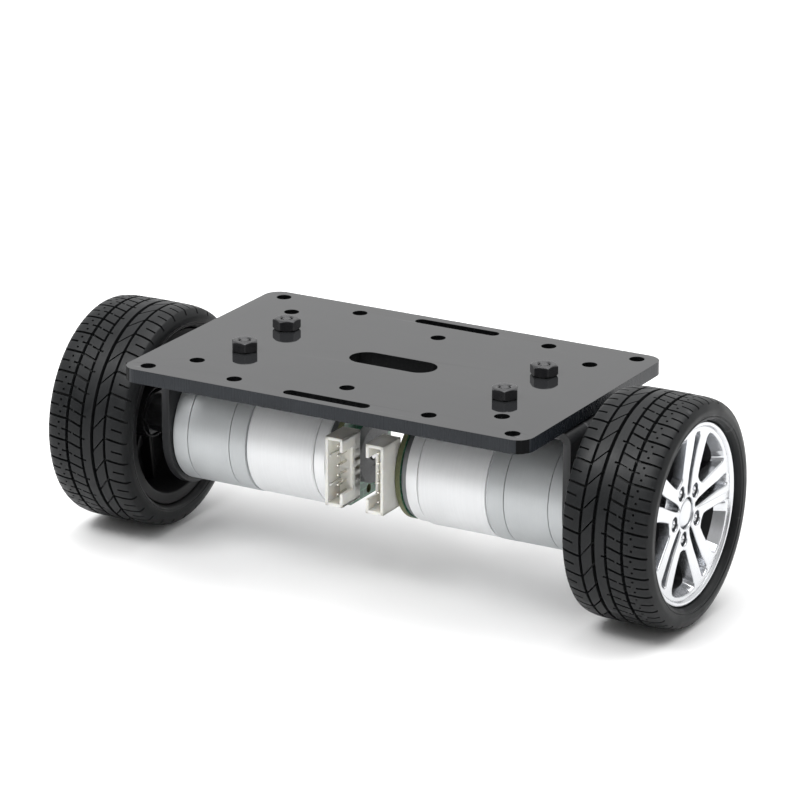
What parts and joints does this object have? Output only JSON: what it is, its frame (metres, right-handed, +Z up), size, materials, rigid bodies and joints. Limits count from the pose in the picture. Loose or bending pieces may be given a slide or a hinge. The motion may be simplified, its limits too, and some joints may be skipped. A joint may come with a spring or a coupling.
{
  "type": "two wheel robot car",
  "caption": "Flat black deck on L brackets over back-to-back geared motors with encoder boards, driving spoked rims with treaded rubber tyres.",
  "frame": {"origin": "on the ground, midway between the tyres and under the middle of the deck", "axes": "+X along the axle towards the right wheel, +Z up, +Y across the deck away from the side that carries the plug headers"},
  "size_m": [0.1928, 0.084, 0.065],
  "materials": {
    "deck_gloss_black": "gloss black cast sheet, clear mirror-like top and bottom, satin cut edges",
    "bracket_black": "black coated steel, satin",
    "black_steel": "black oxide steel, semi-gloss, bare at worn edges",
    "motor_silver": "turned and plated steel, satin, fine turning lines",
    "gear_ring_silver": "plated steel, satin",
    "end_cap_bright": "bright nickel plated steel, satin",
    "board_green": "green solder mask over glass board",
    "header_white": "off-white moulded nylon",
    "pin_metal": "tin plated brass",
    "magnet_grey": "dark grey bonded magnet",
    "shaft_steel": "ground steel",
    "gear_steel": "sintered steel, oiled",
    "bush_bronze": "sintered bronze",
    "coupling_black": "black coated turned steel",
    "rim_bright": "bright plated moulded rim, black inside",
    "tyre_rubber": "black rubber, satin, moulded tread",
    "foam_dark": "dark open cell foam"
  },
  "bodies": {
    "chassis": {"deck_plate": "deck_gloss_black", "deck_screw_1": "black_steel", "deck_screw_2": "black_steel", "deck_screw_3": "black_steel", "deck_screw_4": "black_steel", "deck_nut_1": "black_steel", "deck_nut_2": "black_steel", "deck_nut_3": "black_steel", "deck_nut_4": "black_steel", "right_motor_bracket": "bracket_black", "right_gearbox_front_plate": "motor_silver", "right_gear_ring": "gear_ring_silver", "right_gearbox_rear_plate": "motor_silver", "right_motor_can": "end_cap_bright", "right_motor_end_cap": "end_cap_bright", "right_encoder_board": "board_green", "right_encoder_header": "header_white", "right_header_pins": "pin_metal", "right_shaft_bush": "bush_bronze", "right_bracket_screw_1": "black_steel", "right_bracket_screw_2": "black_steel", "left_motor_bracket": "bracket_black", "left_gearbox_front_plate": "motor_silver", "left_gear_ring": "gear_ring_silver", "left_gearbox_rear_plate": "motor_silver", "left_motor_can": "end_cap_bright", "left_motor_end_cap": "end_cap_bright", "left_encoder_board": "board_green", "left_encoder_header": "header_white", "left_header_pins": "pin_metal", "left_shaft_bush": "bush_bronze", "left_bracket_screw_1": "black_steel", "left_bracket_screw_2": "black_steel"},
    "right_wheel": {"right_output_shaft": "shaft_steel", "right_hex_coupling": "coupling_black", "right_coupling_grub_screw": "black_steel", "right_wheel_rim": "rim_bright", "right_tyre": "tyre_rubber", "right_tyre_foam": "foam_dark", "right_wheel_screw": "black_steel", "right_hub_cap": "rim_bright"},
    "right_rotor": {"right_rotor_shaft": "shaft_steel", "right_encoder_magnet": "magnet_grey"},
    "right_planet_1": {"right_planet_gear_1": "gear_steel"},
    "right_planet_2": {"right_planet_gear_2": "gear_steel"},
    "right_planet_3": {"right_planet_gear_3": "gear_steel"},
    "left_wheel": {"left_output_shaft": "shaft_steel", "left_hex_coupling": "coupling_black", "left_coupling_grub_screw": "black_steel", "left_wheel_rim": "rim_bright", "left_tyre": "tyre_rubber", "left_tyre_foam": "foam_dark", "left_wheel_screw": "black_steel", "left_hub_cap": "rim_bright"},
    "left_rotor": {"left_rotor_shaft": "shaft_steel", "left_encoder_magnet": "magnet_grey"},
    "left_planet_1": {"left_planet_gear_1": "gear_steel"},
    "left_planet_2": {"left_planet_gear_2": "gear_steel"},
    "left_planet_3": {"left_planet_gear_3": "gear_steel"}
  },
  "joints": [
    {"name": "right_wheel_spin", "type": "hinge", "parent": "chassis", "child": "right_wheel", "pos_m": [0.0625, 0, 0.0325], "axis": [1, 0, 0], "continuous": true},
    {"name": "right_rotor_spin", "type": "hinge", "parent": "chassis", "child": "right_rotor", "pos_m": [0.0275, 0, 0.0325], "axis": [1, 0, 0], "continuous": true},
    {"name": "right_planet_1_spin", "type": "hinge", "parent": "right_wheel", "child": "right_planet_1", "pos_m": [0.0528, 0, 0.04038], "axis": [1, 0, 0], "continuous": true},
    {"name": "right_planet_2_spin", "type": "hinge", "parent": "right_wheel", "child": "right_planet_2", "pos_m": [0.0528, -0.00682, 0.02856], "axis": [1, 0, 0], "continuous": true},
    {"name": "right_planet_3_spin", "type": "hinge", "parent": "right_wheel", "child": "right_planet_3", "pos_m": [0.0528, 0.00682, 0.02856], "axis": [1, 0, 0], "continuous": true},
    {"name": "left_wheel_spin", "type": "hinge", "parent": "chassis", "child": "left_wheel", "pos_m": [-0.0625, 0, 0.0325], "axis": [1, 0, 0], "continuous": true},
    {"name": "left_rotor_spin", "type": "hinge", "parent": "chassis", "child": "left_rotor", "pos_m": [-0.0275, 0, 0.0325], "axis": [1, 0, 0], "continuous": true},
    {"name": "left_planet_1_spin", "type": "hinge", "parent": "left_wheel", "child": "left_planet_1", "pos_m": [-0.0528, 0, 0.04038], "axis": [1, 0, 0], "continuous": true},
    {"name": "left_planet_2_spin", "type": "hinge", "parent": "left_wheel", "child": "left_planet_2", "pos_m": [-0.0528, 0.00682, 0.02856], "axis": [1, 0, 0], "continuous": true},
    {"name": "left_planet_3_spin", "type": "hinge", "parent": "left_wheel", "child": "left_planet_3", "pos_m": [-0.0528, -0.00682, 0.02856], "axis": [1, 0, 0], "continuous": true}
  ],
  "couplings": [
    {"joint": "right_rotor_spin", "follows": "right_wheel_spin", "ratio": 4.6667},
    {"joint": "right_planet_1_spin", "follows": "right_wheel_spin", "ratio": -2.75},
    {"joint": "right_planet_2_spin", "follows": "right_wheel_spin", "ratio": -2.75},
    {"joint": "right_planet_3_spin", "follows": "right_wheel_spin", "ratio": -2.75},
    {"joint": "left_rotor_spin", "follows": "left_wheel_spin", "ratio": 4.6667},
    {"joint": "left_planet_1_spin", "follows": "left_wheel_spin", "ratio": -2.75},
    {"joint": "left_planet_2_spin", "follows": "left_wheel_spin", "ratio": -2.75},
    {"joint": "left_planet_3_spin", "follows": "left_wheel_spin", "ratio": -2.75}
  ]
}
